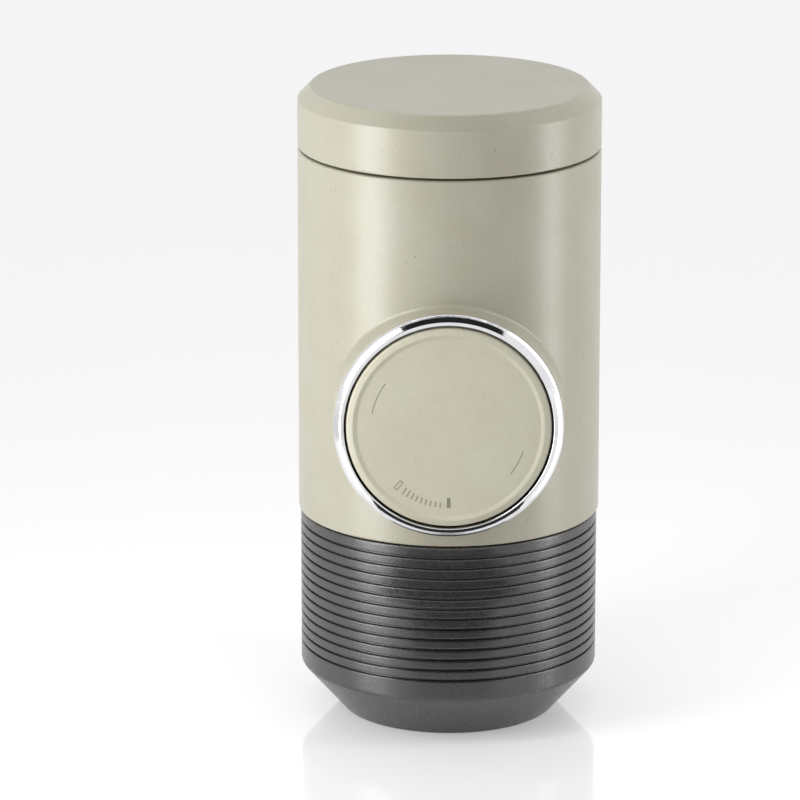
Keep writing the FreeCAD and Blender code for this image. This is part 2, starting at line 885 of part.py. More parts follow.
def make_base_screws():
    """Four pan screws in one node."""
    low = floor_bottom - dim.plate_thick
    seat = low + dim.base_screw_head_rise
    parts = []
    for number, (x, y) in enumerate(screw_places()):
        head = doc.addObject("Part::Cylinder", "screw_head_" + str(number))
        head.setExpression("Radius", dim.base_screw_head.text)
        head.setExpression("Height", dim.base_screw_head_rise.text)
        shank = doc.addObject("Part::Cylinder", "screw_shank_" + str(number))
        shank.setExpression("Radius", dim.base_screw_radius.text)
        shank.setExpression("Height", dim.base_screw_length.text)
        for item, level in ((head, low), (shank, seat)):
            item.setExpression("Placement.Base.x", x.text)
            item.setExpression("Placement.Base.y", y.text)
            item.setExpression("Placement.Base.z", level.text)
        screw = doc.addObject("Part::Fuse", "screw_" + str(number))
        screw.Base = head
        screw.Tool = shank
        parts.append(screw)
    group = doc.addObject("Part::Compound", "base_screws")
    group.Label = "base_screws"
    group.Links = parts
    doc.recompute()
    return group


# Tank and lid


def make_tank():
    radius = shell_bore - dim.snug_fit
    top = body_top - dim.tank_top_drop
    bore = radius - dim.tank_wall
    floor = deck_top + dim.tank_floor
    corners = [
        (NIL, deck_top),
        (radius, deck_top),
        (radius, top),
        (bore, top),
        (bore, floor),
        (NIL, floor),
    ]
    body = turned("tank_liner", corners)
    inlet = [(NIL, port_back, dim.inlet_radius)]
    cut(body, "inlet", rings(body, "inlet_ring", inlet, lift=deck_top), dim.tank_floor)
    neck_bore = neck_radius - dim.neck_wall
    corners = [
        (neck_bore, top),
        (radius, top),
        (radius, top + dim.neck_flange),
        (neck_radius, top + dim.neck_flange),
        (neck_radius, neck_top),
        (neck_bore, neck_top),
    ]
    turned("neck_ring", corners)


def make_inlet_parts():
    low = knob_axis + cylinder_radius + dim.port_rise
    wall = dim.inlet_radius + dim.tube_wall
    body = new_body("inlet_tube")
    circle = [(NIL, port_back, wall)]
    add(body, "tube", rings(body, "tube_circle", circle, lift=low), deck_top - low)
    bore = [(NIL, port_back, dim.inlet_radius)]
    cut(body, "tube_bore", rings(body, "bore_circle", bore, lift=low), deck_top - low)

    floor = deck_top + dim.tank_floor
    body = new_body("inlet_filter")
    circle = [(NIL, port_back, dim.filter_radius)]
    add(body, "disc", rings(body, "disc_circle", circle, lift=floor), dim.filter_thick)
    spacing = dim.filter_hole * 3
    holes = []
    for column in (-1, 0, 1):
        for row in (-1, 0, 1):
            place = (spacing * column, port_back + spacing * row, dim.filter_hole)
            holes.append(place)
    cut(body, "mesh", rings(body, "mesh_circles", holes, lift=floor), dim.filter_thick)

    body = new_body("inlet_valve")
    disc_low = knob_axis + pump_bore + dim.cylinder_wall / 2
    disc = [(NIL, port_back, dim.inlet_radius - dim.running_fit)]
    thick = dim.cylinder_wall / 3
    add(body, "flap", rings(body, "flap_circle", disc, lift=disc_low), thick)
    stem = [(NIL, port_back, dim.inlet_radius / 3)]
    stem_rise = low - disc_low
    add(body, "stem", rings(body, "stem_circle", stem, lift=disc_low), stem_rise)


def make_lid_inside():
    bore = neck_radius + dim.thread_play
    radius = shell_bore - dim.snug_fit
    disc = liner_top - dim.liner_disc
    bevel = dim.lid_bevel_across
    corners = [
        (bore, lid_bottom + dim.side_play),
        (radius, lid_bottom + dim.side_play),
        (radius, liner_top - dim.lid_bevel_drop - dim.snug_fit * 2),
        (radius - bevel, liner_top),
        (NIL, liner_top),
        (NIL, disc),
        (bore, disc),
    ]
    turned("lid_liner", corners)
    gasket_radius = neck_radius - dim.face_gap
    gasket_bore = gasket_radius - dim.gasket_width
    low = neck_top + dim.face_gap
    turned("lid_gasket", tube_between(low, disc - dim.face_gap, gasket_bore, gasket_radius))


# Outlet valve


def make_outlet_valve():
    top = knob_axis - cylinder_radius - dim.port_rise
    seat = top - dim.valve_top
    body = new_body("valve_body")
    circle = [(NIL, port_back, valve_radius)]
    sketch = rings(body, "housing_circle", circle, lift=floor_top)
    add(body, "housing", sketch, top - floor_top)
    bore = rings(
        body, "chamber_circle", [(NIL, port_back, dim.valve_bore)], lift=floor_top
    )
    cut(body, "chamber", bore, seat - floor_top)
    hole = rings(
        body, "seat_circle", [(NIL, port_back, dim.outlet_radius)], lift=seat
    )
    cut(body, "seat", hole, dim.valve_top)

    body = new_body("outlet_valve")
    disc_top = seat - dim.face_gap
    disc_low = disc_top - dim.poppet_thick
    disc = [(NIL, port_back, dim.valve_bore - dim.poppet_play)]
    add(body, "disc", rings(body, "disc_ring", disc, lift=disc_low), dim.poppet_thick)
    stem = [(NIL, port_back, dim.stem_radius)]
    sketch = rings(body, "poppet_stem_circle", stem, lift=disc_low)
    add(body, "poppet_stem", sketch, dim.stem_length, reverse=True)

    rise = disc_low - floor_top - dim.face_gap
    spring = coil_solid(
        "valve_spring",
        dim.valve_coil_radius.value,
        dim.valve_wire.value,
        int(round(dim.valve_turns.value)),
        rise.value,
    )
    place = V(0, port_back.value, floor_top.value)
    add_coil("valve_spring", spring, FreeCAD.Placement(place, FreeCAD.Rotation()))


# Springs

STEPS_PER_TURN = 4


def coil_solid(name, radius, wire, turns, rise):
    """A coil of round wire standing on Z = 0, one tube with a straight run at each end."""
    climb = (rise - wire) / (turns * 2 * math.pi)
    count = turns * STEPS_PER_TURN

    def point(angle):
        level = wire / 2 + climb * angle
        return V(radius * math.cos(angle), radius * math.sin(angle), level)

    def heading(angle):
        return V(-radius * math.sin(angle), radius * math.cos(angle), climb).normalize()

    angles = [2 * math.pi * turns * step / count for step in range(count + 1)]
    edges = []
    edges.append(Part.LineSegment(point(0) - heading(0) * wire, point(0)))
    for first, second in zip(angles, angles[1:]):
        edges += biarc(point(first), heading(first), point(second), heading(second))
    end = angles[-1]
    edges.append(Part.LineSegment(point(end), point(end) + heading(end) * wire))
    shapes = [edge.toShape() for edge in edges]
    path = Part.Wire(shapes)
    start = shapes[0].Vertexes[0].Point
    section = Part.Wire(Part.Circle(start, heading(0), wire / 2).toShape())
    solid = path.makePipeShell([section], True, False)
    length = path.Length
    expected = math.pi * (wire / 2) ** 2 * length
    gap = climb * 2 * math.pi - wire
    print(name, "least gap", round(gap, 2), "volume share", round(solid.Volume / expected, 4))
    return solid


def biarc(start, start_way, end, end_way):
    """Two arcs that leave and arrive along the given directions and meet smoothly."""
    chord = end - start
    total = start_way + end_way
    share = 2 * (1 - start_way.dot(end_way))
    lean = chord.dot(total)
    reach = (-lean + math.sqrt(lean**2 + share * chord.dot(chord))) / share
    first_corner = start + start_way * reach
    last_corner = end - end_way * reach
    middle = (first_corner + last_corner) / 2
    return [
        tangent_arc(start, first_corner, middle),
        tangent_arc(middle, last_corner, end),
    ]


def tangent_arc(start, corner, end):
    """The arc that touches both lines from a corner with equal legs."""
    chord_middle = (start + end) / 2
    half = (end - start).Length / 2
    leg = (corner - start).Length
    height = (corner - chord_middle).Length
    sagitta = half * (leg - half) / height
    inward = (corner - chord_middle).normalize()
    return Part.Arc(start, chord_middle + inward * sagitta, end)


def add_coil(name, solid, placement):
    feature = doc.addObject("Part::Feature", name)
    feature.Label = name
    feature.Shape = solid
    feature.Placement = placement
    return feature


def make_return_spring():
    low = bulkhead_front + dim.spring_seat_thick
    rise = carrier_front - dim.spring_seat_thick - dim.face_gap - low
    solid = coil_solid(
        "return_spring",
        coil_radius.value,
        dim.coil_wire.value,
        int(round(dim.coil_turns.value)),
        rise.value,
    )
    place = V(0, -low.value, knob_axis.value)
    add_coil("return_spring", solid, FreeCAD.Placement(place, TO_FRONT))


# Brewing head

socket_low = floor_bottom - dim.socket_floor
pierce_low = socket_low - dim.pierce_thick
gasket_low = pierce_low - dim.gasket_thick
holder_top = gasket_low - dim.face_gap
holder_bottom = holder_top - dim.chamber_rise
grid_low = holder_bottom - dim.grid_thick
head_low = grid_low - dim.head_floor
head_top = body_bottom - dim.head_drop - dim.washer_thick - dim.face_gap


def make_head_socket():
    skirt_low = socket_low - dim.socket_skirt
    corners = [
        (NIL, socket_low),
        (socket_bore, socket_low),
        (socket_bore, skirt_low),
        (socket_radius, skirt_low),
        (socket_radius, floor_bottom),
        (NIL, floor_bottom),
    ]
    body = turned("head_socket", corners)
    half = dim.channel_width / 2
    channel = [
        (-half, -half),
        (half, -half),
        (half, port_back + half),
        (-half, port_back + half),
    ]
    sketch = outline(body, "channel_outline", channel, "XY_Plane", floor_bottom)
    cut(body, "channel", sketch, dim.channel_deep, along=False)
    centre = rings(body, "centre_circle", [(NIL, NIL, half)], lift=socket_low)
    cut(body, "centre_hole", centre, dim.socket_floor)
    return body


def make_pierce_plate():
    radius = socket_bore - dim.snug_fit
    body = new_body("pierce_plate")
    disc = rings(body, "plate_circle", [(NIL, NIL, radius)], lift=pierce_low)
    add(body, "plate", disc, dim.pierce_thick)
    for number in range(int(dim.pin_count.value)):
        turn = Size(str(120.0 * number), 120.0 * number)
        x, y = on_plane(dim.pin_circle, turn)
        pin = body.newObject("PartDesign::AdditiveCone", "pin_" + str(number))
        pin.setExpression("Radius1", dim.pin_root.text)
        pin.setExpression("Radius2", dim.pin_tip.text)
        pin.setExpression("Height", dim.pin_length.text)
        pin.Placement = FreeCAD.Placement(V(), FreeCAD.Rotation(V(1, 0, 0), 180))
        pin.setExpression("Placement.Base.x", x.text)
        pin.setExpression("Placement.Base.y", y.text)
        pin.setExpression("Placement.Base.z", pierce_low.text)
        doc.recompute()
    holes = []
    for number in range(int(dim.pin_count.value)):
        middle = 120.0 * number + 60.0
        x, y = on_plane(dim.pin_circle, Size(str(middle), middle))
        holes.append((x, y, dim.pin_root))
    cut(body, "jets", rings(body, "jet_circles", holes, lift=pierce_low), dim.pierce_thick)
    return body


def make_capsule_holder():
    bottom = holder_bottom
    recess = bottom + dim.flange_recess
    corners = [
        (recess_radius, bottom),
        (holder_radius, bottom),
        (holder_radius, holder_top),
        (chamber_top, holder_top),
        (chamber_bottom, recess),
        (recess_radius, recess),
    ]
    turned("capsule_holder", corners)
    gasket_bore = chamber_top + dim.side_play
    gasket_radius = socket_bore - dim.snug_fit
    turned("brew_gasket", tube_between(gasket_low, pierce_low, gasket_bore, gasket_radius))


def make_foil_grid():
    body = new_body("foil_grid")
    disc = rings(body, "grid_circle", [(NIL, NIL, holder_radius)], lift=grid_low)
    add(body, "grid", disc, dim.grid_thick)
    reach = int((recess_radius.value - dim.grid_hole.value) / dim.grid_pitch.value)
    holes = []
    for column in range(-reach, reach + 1):
        for row in range(-reach, reach + 1):
            spread = math.hypot(column, row) * dim.grid_pitch.value
            if spread + dim.grid_hole.value < chamber_bottom.value:
                x = dim.grid_pitch * column
                y = dim.grid_pitch * row
                holes.append((x, y, dim.grid_hole))
    cut(body, "perforations", rings(body, "grid_holes", holes, lift=grid_low), dim.grid_thick)
    return body


def make_outlet_head():
    """The head's bore, its threaded mouth, the flange that carries the cup."""
    bore = holder_radius + dim.side_play
    mouth = socket_radius + dim.side_play
    skirt = socket_low - dim.socket_skirt - dim.side_play
    wall = bore + dim.head_wall
    flange = cup_bore - dim.side_play
    flange_low = head_top - dim.head_flange
    neck = mouth + dim.head_neck_wall
    neck_low = skirt - dim.head_neck_wall
    slot = flange - dim.ring_wire
    slot_low = flange_low + (dim.head_flange - dim.ring_groove) / 2
    slot_top = slot_low + dim.ring_groove
    spout_hole = dim.nozzle_bore + dim.nozzle_wall + dim.snug_fit
    corners = [
        (spout_hole, head_low),
        (wall - dim.head_bevel, head_low),
        (wall, head_low + dim.head_bevel),
        (wall, neck_low - dim.head_slope),
        (neck, neck_low),
        (neck, flange_low),
        (flange, flange_low),
        (flange, slot_low),
        (slot, slot_low),
        (slot, slot_top),
        (flange, slot_top),
        (flange, head_top),
        (mouth, head_top),
        (mouth, skirt),
        (bore, skirt),
        (bore, grid_low),
        (spout_hole, grid_low),
    ]
    turned("outlet_head", corners)
    loop = flange + dim.face_gap - dim.ring_wire / 2
    torus_group("cup_seal", [(slot_low + slot_top) / 2], loop, dim.ring_wire / 2)
    washer_bore = mouth + dim.side_play
    washer_low = head_top + dim.face_gap
    washer_top = washer_low + dim.washer_thick
    radius = flange - dim.side_play
    turned("head_washer", tube_between(washer_low, washer_top, washer_bore, radius))


def make_nozzle():
    spigot = dim.nozzle_bore + dim.nozzle_wall
    lip = spigot + dim.nozzle_lip
    low = head_low - dim.nozzle_length
    corners = [
        (dim.nozzle_bore, low),
        (spigot, low),
        (lip, head_low - dim.nozzle_length / 2),
        (lip, head_low),
        (spigot, head_low),
        (spigot, grid_low),
        (dim.nozzle_bore, grid_low),
    ]
    return turned("nozzle", corners)


def build():
    make_body_shell()
    make_lid_shell()
    make_cup_shell()
    make_bezel_ring()
    make_knob_cap()
    make_knob_carrier()
    make_guide_collar()
    make_washers()
    make_pump_cylinder()
    make_cylinder_cap()
    make_piston()
    make_rod_and_screw()
    make_pump_chassis()
    make_base_plate()
    make_base_screws()
    make_tank()
    make_inlet_parts()
    make_lid_inside()
    make_outlet_valve()
    make_return_spring()
    make_head_socket()
    make_pierce_plate()
    make_capsule_holder()
    make_foil_grid()
    make_outlet_head()
    make_nozzle()


NODES = (
    "body_shell",
    "lid_shell",
    "cup_shell",
    "bezel_ring",
    "knob_cap",
    "knob_carrier",
    "guide_collar",
    "thrust_washer",
    "spring_seat",
    "pump_cylinder",
    "cylinder_cap",
    "piston_head",
    "piston_seals",
    "piston_rod",
    "rod_screw",
    "pump_chassis",
    "base_plate",
    "base_screws",
    "tank_liner",
    "neck_ring",
    "inlet_tube",
    "inlet_filter",
    "inlet_valve",
    "lid_liner",
    "lid_gasket",
    "valve_body",
    "outlet_valve",
    "valve_spring",
    "return_spring",
    "head_socket",
    "pierce_plate",
    "brew_gasket",
    "capsule_holder",
    "foil_grid",
    "outlet_head",
    "cup_seal",
    "head_washer",
    "nozzle",
)


def check_and_export():
    """See that every object is sound before any file is written."""
    doc.recompute()
    for item in doc.Objects:
        if "Invalid" in item.State or "Error" in item.State:
            raise RuntimeError(item.Name + " failed: " + str(item.State))
    shapes = {}
    for name in NODES:
        shape = doc.getObjectsByLabel(name)[0].Shape
        if shape.isNull() or not shape.isValid() or not shape.Solids:
            raise RuntimeError(name + " has no sound shape")
        shapes[name] = shape
    os.makedirs("parts", exist_ok=True)
    for name, shape in shapes.items():
        shape.exportStep("parts/" + name + ".step")
    print(len(shapes), "nodes written")


build()
check_and_export()
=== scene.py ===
import json
import math

import bpy
from mathutils import Matrix, Vector


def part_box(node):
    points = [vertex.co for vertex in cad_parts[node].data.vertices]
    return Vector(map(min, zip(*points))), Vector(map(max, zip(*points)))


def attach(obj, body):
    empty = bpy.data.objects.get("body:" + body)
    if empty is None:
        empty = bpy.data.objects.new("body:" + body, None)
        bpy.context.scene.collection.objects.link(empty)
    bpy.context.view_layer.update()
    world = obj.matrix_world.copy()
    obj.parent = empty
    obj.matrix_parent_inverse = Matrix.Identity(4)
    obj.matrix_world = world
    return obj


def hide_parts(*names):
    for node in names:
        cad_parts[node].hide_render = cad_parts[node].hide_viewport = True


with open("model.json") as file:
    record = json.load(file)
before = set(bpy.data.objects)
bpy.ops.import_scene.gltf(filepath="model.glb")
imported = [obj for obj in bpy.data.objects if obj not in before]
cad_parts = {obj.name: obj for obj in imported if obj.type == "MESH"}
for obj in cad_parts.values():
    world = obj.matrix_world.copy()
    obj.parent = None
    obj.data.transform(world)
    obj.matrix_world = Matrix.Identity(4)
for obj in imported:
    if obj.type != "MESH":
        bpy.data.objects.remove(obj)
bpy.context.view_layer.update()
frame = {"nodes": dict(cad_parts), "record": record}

# Looks of a handheld manual espresso maker: pale speckled casings, a chrome ring round the knob
# and a dark ribbed cup. Metres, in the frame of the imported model.

MM = 0.001
TURN = 2 * math.pi

# Sizes read from the frame
BODY_LOW, BODY_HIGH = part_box("body_shell")
LID_LOW, LID_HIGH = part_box("lid_shell")
CUP_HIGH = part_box("cup_shell")[1]
RING_LOW, RING_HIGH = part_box("bezel_ring")
CAP_LOW, CAP_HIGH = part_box("knob_cap")
COLLAR_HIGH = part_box("guide_collar")[1]
TANK_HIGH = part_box("tank_liner")[1]
LINER_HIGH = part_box("lid_liner")[1]

CLEARANCE = 0.05 * MM
BODY_RADIUS = BODY_HIGH.x
SHELL_BORE = TANK_HIGH.x + CLEARANCE
BOSS_REACH = -BODY_LOW.y
KNOB_AXIS = (CAP_LOW.z + CAP_HIGH.z) / 2
KNOB_RADIUS = CAP_HIGH.x
BOSS_BORE = COLLAR_HIGH.x + CLEARANCE

# Sizes that a box can't give
BOSS_RADIUS = RING_HIGH.x + 0.2 * MM
BOSS_BLEND = 0.8 * MM
BOSS_EDGE = 0.25 * MM
EDGE_ROUND = 0.5 * MM

# How finely the meshes are divided
ARC_STEPS = 6
SUPPORT = 0.12 * MM
SEGMENTS = 256
SHARP_ANGLE = math.radians(32)
TINY = 1e-6


# Meshes


def new_piece(name, vertices, faces, body, material, replaced=None, normals=None):
    """Add a mesh piece that rides on a body and, where named, replaces a node."""
    mesh = bpy.data.meshes.new(name)
    mesh.from_pydata([tuple(v) for v in vertices], [], faces)
    mesh.validate()
    mesh.update()
    piece = bpy.data.objects.new(name, mesh)
    bpy.context.scene.collection.objects.link(piece)
    mesh.shade_smooth()
    if normals is None:
        mesh.set_sharp_from_angle(angle=SHARP_ANGLE)
    else:
        mesh.normals_split_custom_set_from_vertices([tuple(n) for n in normals])
    mesh.materials.append(material)
    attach(piece, body)
    if replaced:
        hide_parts(replaced)


def softened(corners):
    """Round each corner (r, z, radius) of a closed profile, with a support point each side."""
    points = []
    count = len(corners)
    for index, (r, z, radius) in enumerate(corners):
        here = Vector((r, z))
        back = Vector(corners[index - 1][:2]) - here
        ahead = Vector(corners[(index + 1) % count][:2]) - here
        if radius <= 0 or min(back.length, ahead.length) < 1e-9:
            points.append(here)
            continue
        points += corner_arc(here, back, ahead, radius)
    return points


def corner_arc(here, back, ahead, radius):
    """Points of the arc that rounds one corner."""
    half = back.angle(ahead) / 2
    room = min(back.length, ahead.length) * 0.49
    leg = min(radius / math.tan(half), room)
    radius = leg * math.tan(half)
    first = here + back.normalized() * leg
    last = here + ahead.normalized() * leg
    centre = here + (back.normalized() + ahead.normalized()).normalized() * (
        radius / math.sin(half)
    )
    points = []
    side = min(SUPPORT, room - leg)
    if side > TINY:
        points.append(first + back.normalized() * side)
    start = first - centre
    stop = last - centre
    sweep = start.angle(stop)
    sense = 1 if start.x * stop.y - start.y * stop.x > 0 else -1
    for step in range(ARC_STEPS + 1):
        turn = sense * sweep * step / ARC_STEPS
        c, s = math.cos(turn), math.sin(turn)
        points.append(centre + Vector((start.x * c - start.y * s, start.x * s + start.y * c)))
    if side > TINY:
        points.append(last + ahead.normalized() * side)
    return points


def lathe(profile):
    """Vertices and faces of a closed profile of (r, z) points turned about Z."""
    vertices = []
    rings = []
    for r, z in profile:
        if r < TINY / 10:
            rings.append([len(vertices)])
            vertices.append(Vector((0, 0, z)))
            continue
        ring = []
        for step in range(SEGMENTS):
            angle = TURN * step / SEGMENTS
            ring.append(len(vertices))
            vertices.append(Vector((r * math.cos(angle), r * math.sin(angle), z)))
        rings.append(ring)
    faces = []
    for index, ring in enumerate(rings):
        faces += bridge(ring, rings[(index + 1) % len(rings)])
    return vertices, faces


def bridge(lower, upper):
    """Faces between two rings, either of which may be a single point."""
    if len(lower) == 1 and len(upper) == 1:
        return []
    count = max(len(lower), len(upper))
    faces = []
    for step in range(count):
        after = (step + 1) % count
        if len(lower) == 1:
            faces.append((lower[0], upper[after], upper[step]))
        elif len(upper) == 1:
            faces.append((lower[step], lower[after], upper[0]))
        else:
            faces.append((lower[step], lower[after], upper[after], upper[step]))
    return faces


def to_front(vertices):
    """Turn a lathe's Z to the front and move it to the knob's axis."""
    return [Vector((v.x, -v.z, v.y + KNOB_AXIS)) for v in vertices]


# Materials


class Paint:
    """A node material with its shader, and short calls for what feeds it."""

    def __init__(self, name, colour, roughness, metallic=0.0, specular=0.5):
        self.material = bpy.data.materials.new(name)
        self.material.use_nodes = True
        self.tree = self.material.node_tree
        self.shader = self.tree.nodes["Principled BSDF"]
        self.shader.inputs["Base Color"].default_value = (*colour, 1)
        self.shader.inputs["Roughness"].default_value = roughness
        self.shader.inputs["Metallic"].default_value = metallic
        self.shader.inputs["Specular IOR Level"].default_value = specular
        self.coords = self.tree.nodes.new("ShaderNodeTexCoord").outputs["Object"]

    def node(self, kind, **settings):
        made = self.tree.nodes.new(kind)
        for key, value in settings.items():
            setattr(made, key, value)
        return made

    def link(self, output, target):
        self.tree.links.new(output, target)

    def noise(self, scale, detail, stretch=(1, 1, 1)):
        """A noise of about 0.3 to 0.7, with so many cells to the metre."""
        mapping = self.node("ShaderNodeMapping")
        mapping.inputs["Scale"].default_value = stretch
        self.link(self.coords, mapping.inputs["Vector"])
        made = self.node("ShaderNodeTexNoise")
        made.inputs["Scale"].default_value = scale
        made.inputs["Detail"].default_value = detail
        self.link(mapping.outputs["Vector"], made.inputs["Vector"])
        return made.outputs["Fac"]

    def ranged(self, value, low, high, to_low, to_high):
        """A value moved from one range to another and kept within it."""
        made = self.node("ShaderNodeMapRange")
        limits = {"From Min": low, "From Max": high, "To Min": to_low, "To Max": to_high}
        for key, number in limits.items():
            made.inputs[key].default_value = number
        self.link(value, made.inputs["Value"])
        return made.outputs["Result"]

    def maths(self, operation, first, second):
        made = self.node("ShaderNodeMath", operation=operation)
        for socket, item in zip(made.inputs, (first, second)):
            if isinstance(item, (int, float)):
                socket.default_value = item
            else:
                self.link(item, socket)
        return made.outputs[0]

    def mixed(self, factor, first, second):
        """A colour between two others, each a plain colour or an output."""
        made = self.node("ShaderNodeMix", data_type="RGBA")
        colours = [s for s in made.inputs if s.type == "RGBA"]
        for socket, item in zip(colours, (first, second)):
            if isinstance(item, tuple):
                socket.default_value = (*item, 1)
            else:
                self.link(item, socket)
        self.link(factor, made.inputs[0])
        return next(s for s in made.outputs if s.type == "RGBA")

    def bumped(self, height, strength, distance):
        made = self.node("ShaderNodeBump")
        made.inputs["Strength"].default_value = strength
        made.inputs["Distance"].default_value = distance
        self.link(height, made.inputs["Height"])
        self.link(made.outputs["Normal"], self.shader.inputs["Normal"])

    def specks(self, scale, size, share):
        """A mask of round specks, each in the middle of a cell, in a given share of the cells."""
        cells = self.node("ShaderNodeTexVoronoi")
        cells.inputs["Scale"].default_value = scale
        self.link(self.coords, cells.inputs["Vector"])
        split = self.node("ShaderNodeSeparateColor")
        self.link(cells.outputs["Color"], split.inputs[0])
        picked = self.maths("LESS_THAN", split.outputs[0], share)
        near = self.ranged(cells.outputs["Distance"], size, size * 0.6, 0, 1)
        return self.maths("MULTIPLY", picked, near)


STONE = (0.455, 0.44, 0.35)
STONE_WARM = (0.435, 0.415, 0.32)
SPECK = (0.15, 0.125, 0.085)
SPECK_PALE = (0.58, 0.56, 0.47)

# Kinds of speck: cells to the metre, radius in a cell, share of the cells, strength, colour
SPECK_KINDS = (
    (700, 0.2, 0.10, 0.22, SPECK_PALE),
    (1000, 0.26, 0.12, 0.30, SPECK),
    (420, 0.15, 0.05, 0.45, SPECK),
)


def stone_plastic(name, specked, painted_light_factor=1.0):
    """Pale stone-coloured plastic with fine dark flecks and a moulded grain."""
    # The factor that scales both colours, when above 1, makes a lighter copy of this plastic as
    # painted light.
    base = tuple(c * painted_light_factor for c in STONE)
    warm = tuple(c * painted_light_factor for c in STONE_WARM)
    paint = Paint(name, base, 0.34, specular=0.8)
    mottle = paint.ranged(paint.noise(90, 3), 0.35, 0.65, 0, 1)
    colour = paint.mixed(mottle, base, warm)
    grain = paint.ranged(paint.noise(2600, 2), 0.3, 0.7, 0, 0.10)
    colour = paint.mixed(grain, colour, SPECK)
    for scale, size, share, strength, tone in SPECK_KINDS:
        mask = paint.specks(scale, size, share)
        colour = paint.mixed(paint.maths("MULTIPLY", mask, strength * specked), colour, tone)
    paint.link(colour, paint.shader.inputs["Base Color"])
    rough = paint.ranged(paint.noise(1400, 2), 0.3, 0.7, 0.31, 0.38)
    paint.link(rough, paint.shader.inputs["Roughness"])
    paint.bumped(paint.noise(3200, 3), 0.15, 0.03 * MM)
    return paint.material


GLOSS_SPREAD = 0.06


def moulded(name, colour, roughness, grain, specular=0.5):
    """Moulded plastic or rubber with a fine grain and slight unevenness of colour and gloss."""
    paint = Paint(name, colour, roughness, specular=specular)
    dark = tuple(c * 0.82 for c in colour)
    mottle = paint.ranged(paint.noise(160, 4), 0.35, 0.65, 0, 1)
    paint.link(paint.mixed(mottle, colour, dark), paint.shader.inputs["Base Color"])
    glossy, dull = roughness - GLOSS_SPREAD, roughness + GLOSS_SPREAD
    rough = paint.ranged(paint.noise(900, 3), 0.3, 0.7, glossy, dull)
    paint.link(rough, paint.shader.inputs["Roughness"])
    paint.bumped(paint.noise(2800, 3), grain, 0.03 * MM)
    return paint.material


def smoky_plastic():
    """Grey plastic that lets some light through."""
    paint = Paint("smoky_plastic", (0.30, 0.31, 0.32), 0.12)
    paint.shader.inputs["Transmission Weight"].default_value = 0.55
    paint.shader.inputs["IOR"].default_value = 1.5
    rough = paint.ranged(paint.noise(300, 3), 0.3, 0.7, 0.08, 0.2)
    paint.link(rough, paint.shader.inputs["Roughness"])
    paint.bumped(paint.noise(60, 2), 0.05, 0.05 * MM)
    return paint.material


def metal(name, colour, roughness, stretch, strength):
    """Metal with fine turning or drawing marks along one direction."""
    paint = Paint(name, colour, roughness, 1.0)
    marks = paint.noise(900, 3, stretch)
    rough = paint.ranged(marks, 0.3, 0.7, roughness * 0.7, roughness * 1.4)
    paint.link(rough, paint.shader.inputs["Roughness"])
    dark = tuple(c * 0.9 for c in colour)
    tone = paint.ranged(paint.noise(220, 2), 0.35, 0.65, 0, 1)
    paint.link(paint.mixed(tone, colour, dark), paint.shader.inputs["Base Color"])
    paint.bumped(marks, strength, 0.01 * MM)
    return paint.material


STONE_PAINT = stone_plastic("stone_plastic", 1.0)
# The knob is this plastic painted 1.42 times lighter, as painted light on its front-facing face,
# and with fainter specks.
KNOB_PAINT = stone_plastic("stone_plastic_plain_painted_light", 0.35, 1.42)
CUP_PAINT = moulded("cup_plastic", (0.026, 0.025, 0.025), 0.29, 0.2, specular=1.0)
BLACK_PAINT = moulded("black_plastic", (0.018, 0.018, 0.019), 0.38, 0.2)
GREY_PAINT = moulded("grey_plastic", (0.33, 0.33, 0.34), 0.4, 0.2)
RUBBER_PAINT = moulded("seal_rubber", (0.03, 0.03, 0.03), 0.62, 0.3)
MARK_PAINT = moulded("mark_ink", (0.28, 0.26, 0.20), 0.55, 0.1)
TANK_PAINT = smoky_plastic()
CHROME_PAINT = metal("bezel_chrome", (0.80, 0.80, 0.82), 0.07, (1, 1, 1), 0.03)
STEEL_PAINT = metal("steel", (0.60, 0.60, 0.61), 0.26, (1, 12, 1), 0.12)

SLOT_PAINTS = {
    "stone_plastic": STONE_PAINT,
    "dark_plastic": CUP_PAINT,
    "black_plastic": BLACK_PAINT,
    "tank_plastic": TANK_PAINT,
    "grey_plastic": GREY_PAINT,
    "bezel_chrome": CHROME_PAINT,
    "steel": STEEL_PAINT,
    "seal_rubber": RUBBER_PAINT,
}


def paint_nodes():
    """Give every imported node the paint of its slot."""
    for part in frame["record"]["subparts"]:
        node = frame["nodes"][part["node"]]
        node.data.materials.clear()
        node.data.materials.append(SLOT_PAINTS[part["material_slot"]])


# Casings turned about the main axis


BEVEL_ACROSS = 2.8 * MM
BEVEL_DROP = 2.9 * MM
BEVEL_ROUND = 0.7 * MM
LID_MOUTH_ROUND = 0.2 * MM


def make_lid():
    """The lid: a flat-topped cap with a bevelled edge."""
    inner_top = LINER_HIGH.z
    corners = [
        (SHELL_BORE, LID_LOW.z, LID_MOUTH_ROUND),
        (BODY_RADIUS, LID_LOW.z, EDGE_ROUND),
        (BODY_RADIUS, LID_HIGH.z - BEVEL_DROP, BEVEL_ROUND),
        (BODY_RADIUS - BEVEL_ACROSS, LID_HIGH.z, BEVEL_ROUND),
        (0, LID_HIGH.z, 0),
        (0, inner_top, 0),
        (SHELL_BORE - BEVEL_ACROSS, inner_top, 0),
        (SHELL_BORE, inner_top - BEVEL_DROP, 0),
    ]
    vertices, faces = lathe(softened(corners))
    new_piece("lid_skin", vertices, faces, "lid", STONE_PAINT, "lid_shell")


RIB_COUNT = 13
RIB_PITCH = 2.27 * MM
RIB_FIRST = 2.5 * MM
GROOVE_WIDTH = 0.45 * MM
GROOVE_DEPTH = 0.75 * MM
GROOVE_LIP = 0.3 * MM
GROOVE_FLOOR_ROUND = 0.12 * MM
CUP_WALL = 2.0 * MM
CUP_FLOOR = 1.6 * MM
CONE_FOOT = 22.8 * MM
CONE_TOP = 10.5 * MM
CONE_ROUND = 1.6 * MM
FOOT_ROUND = 1.2 * MM
CUP_INNER_ROUND = 2.0 * MM


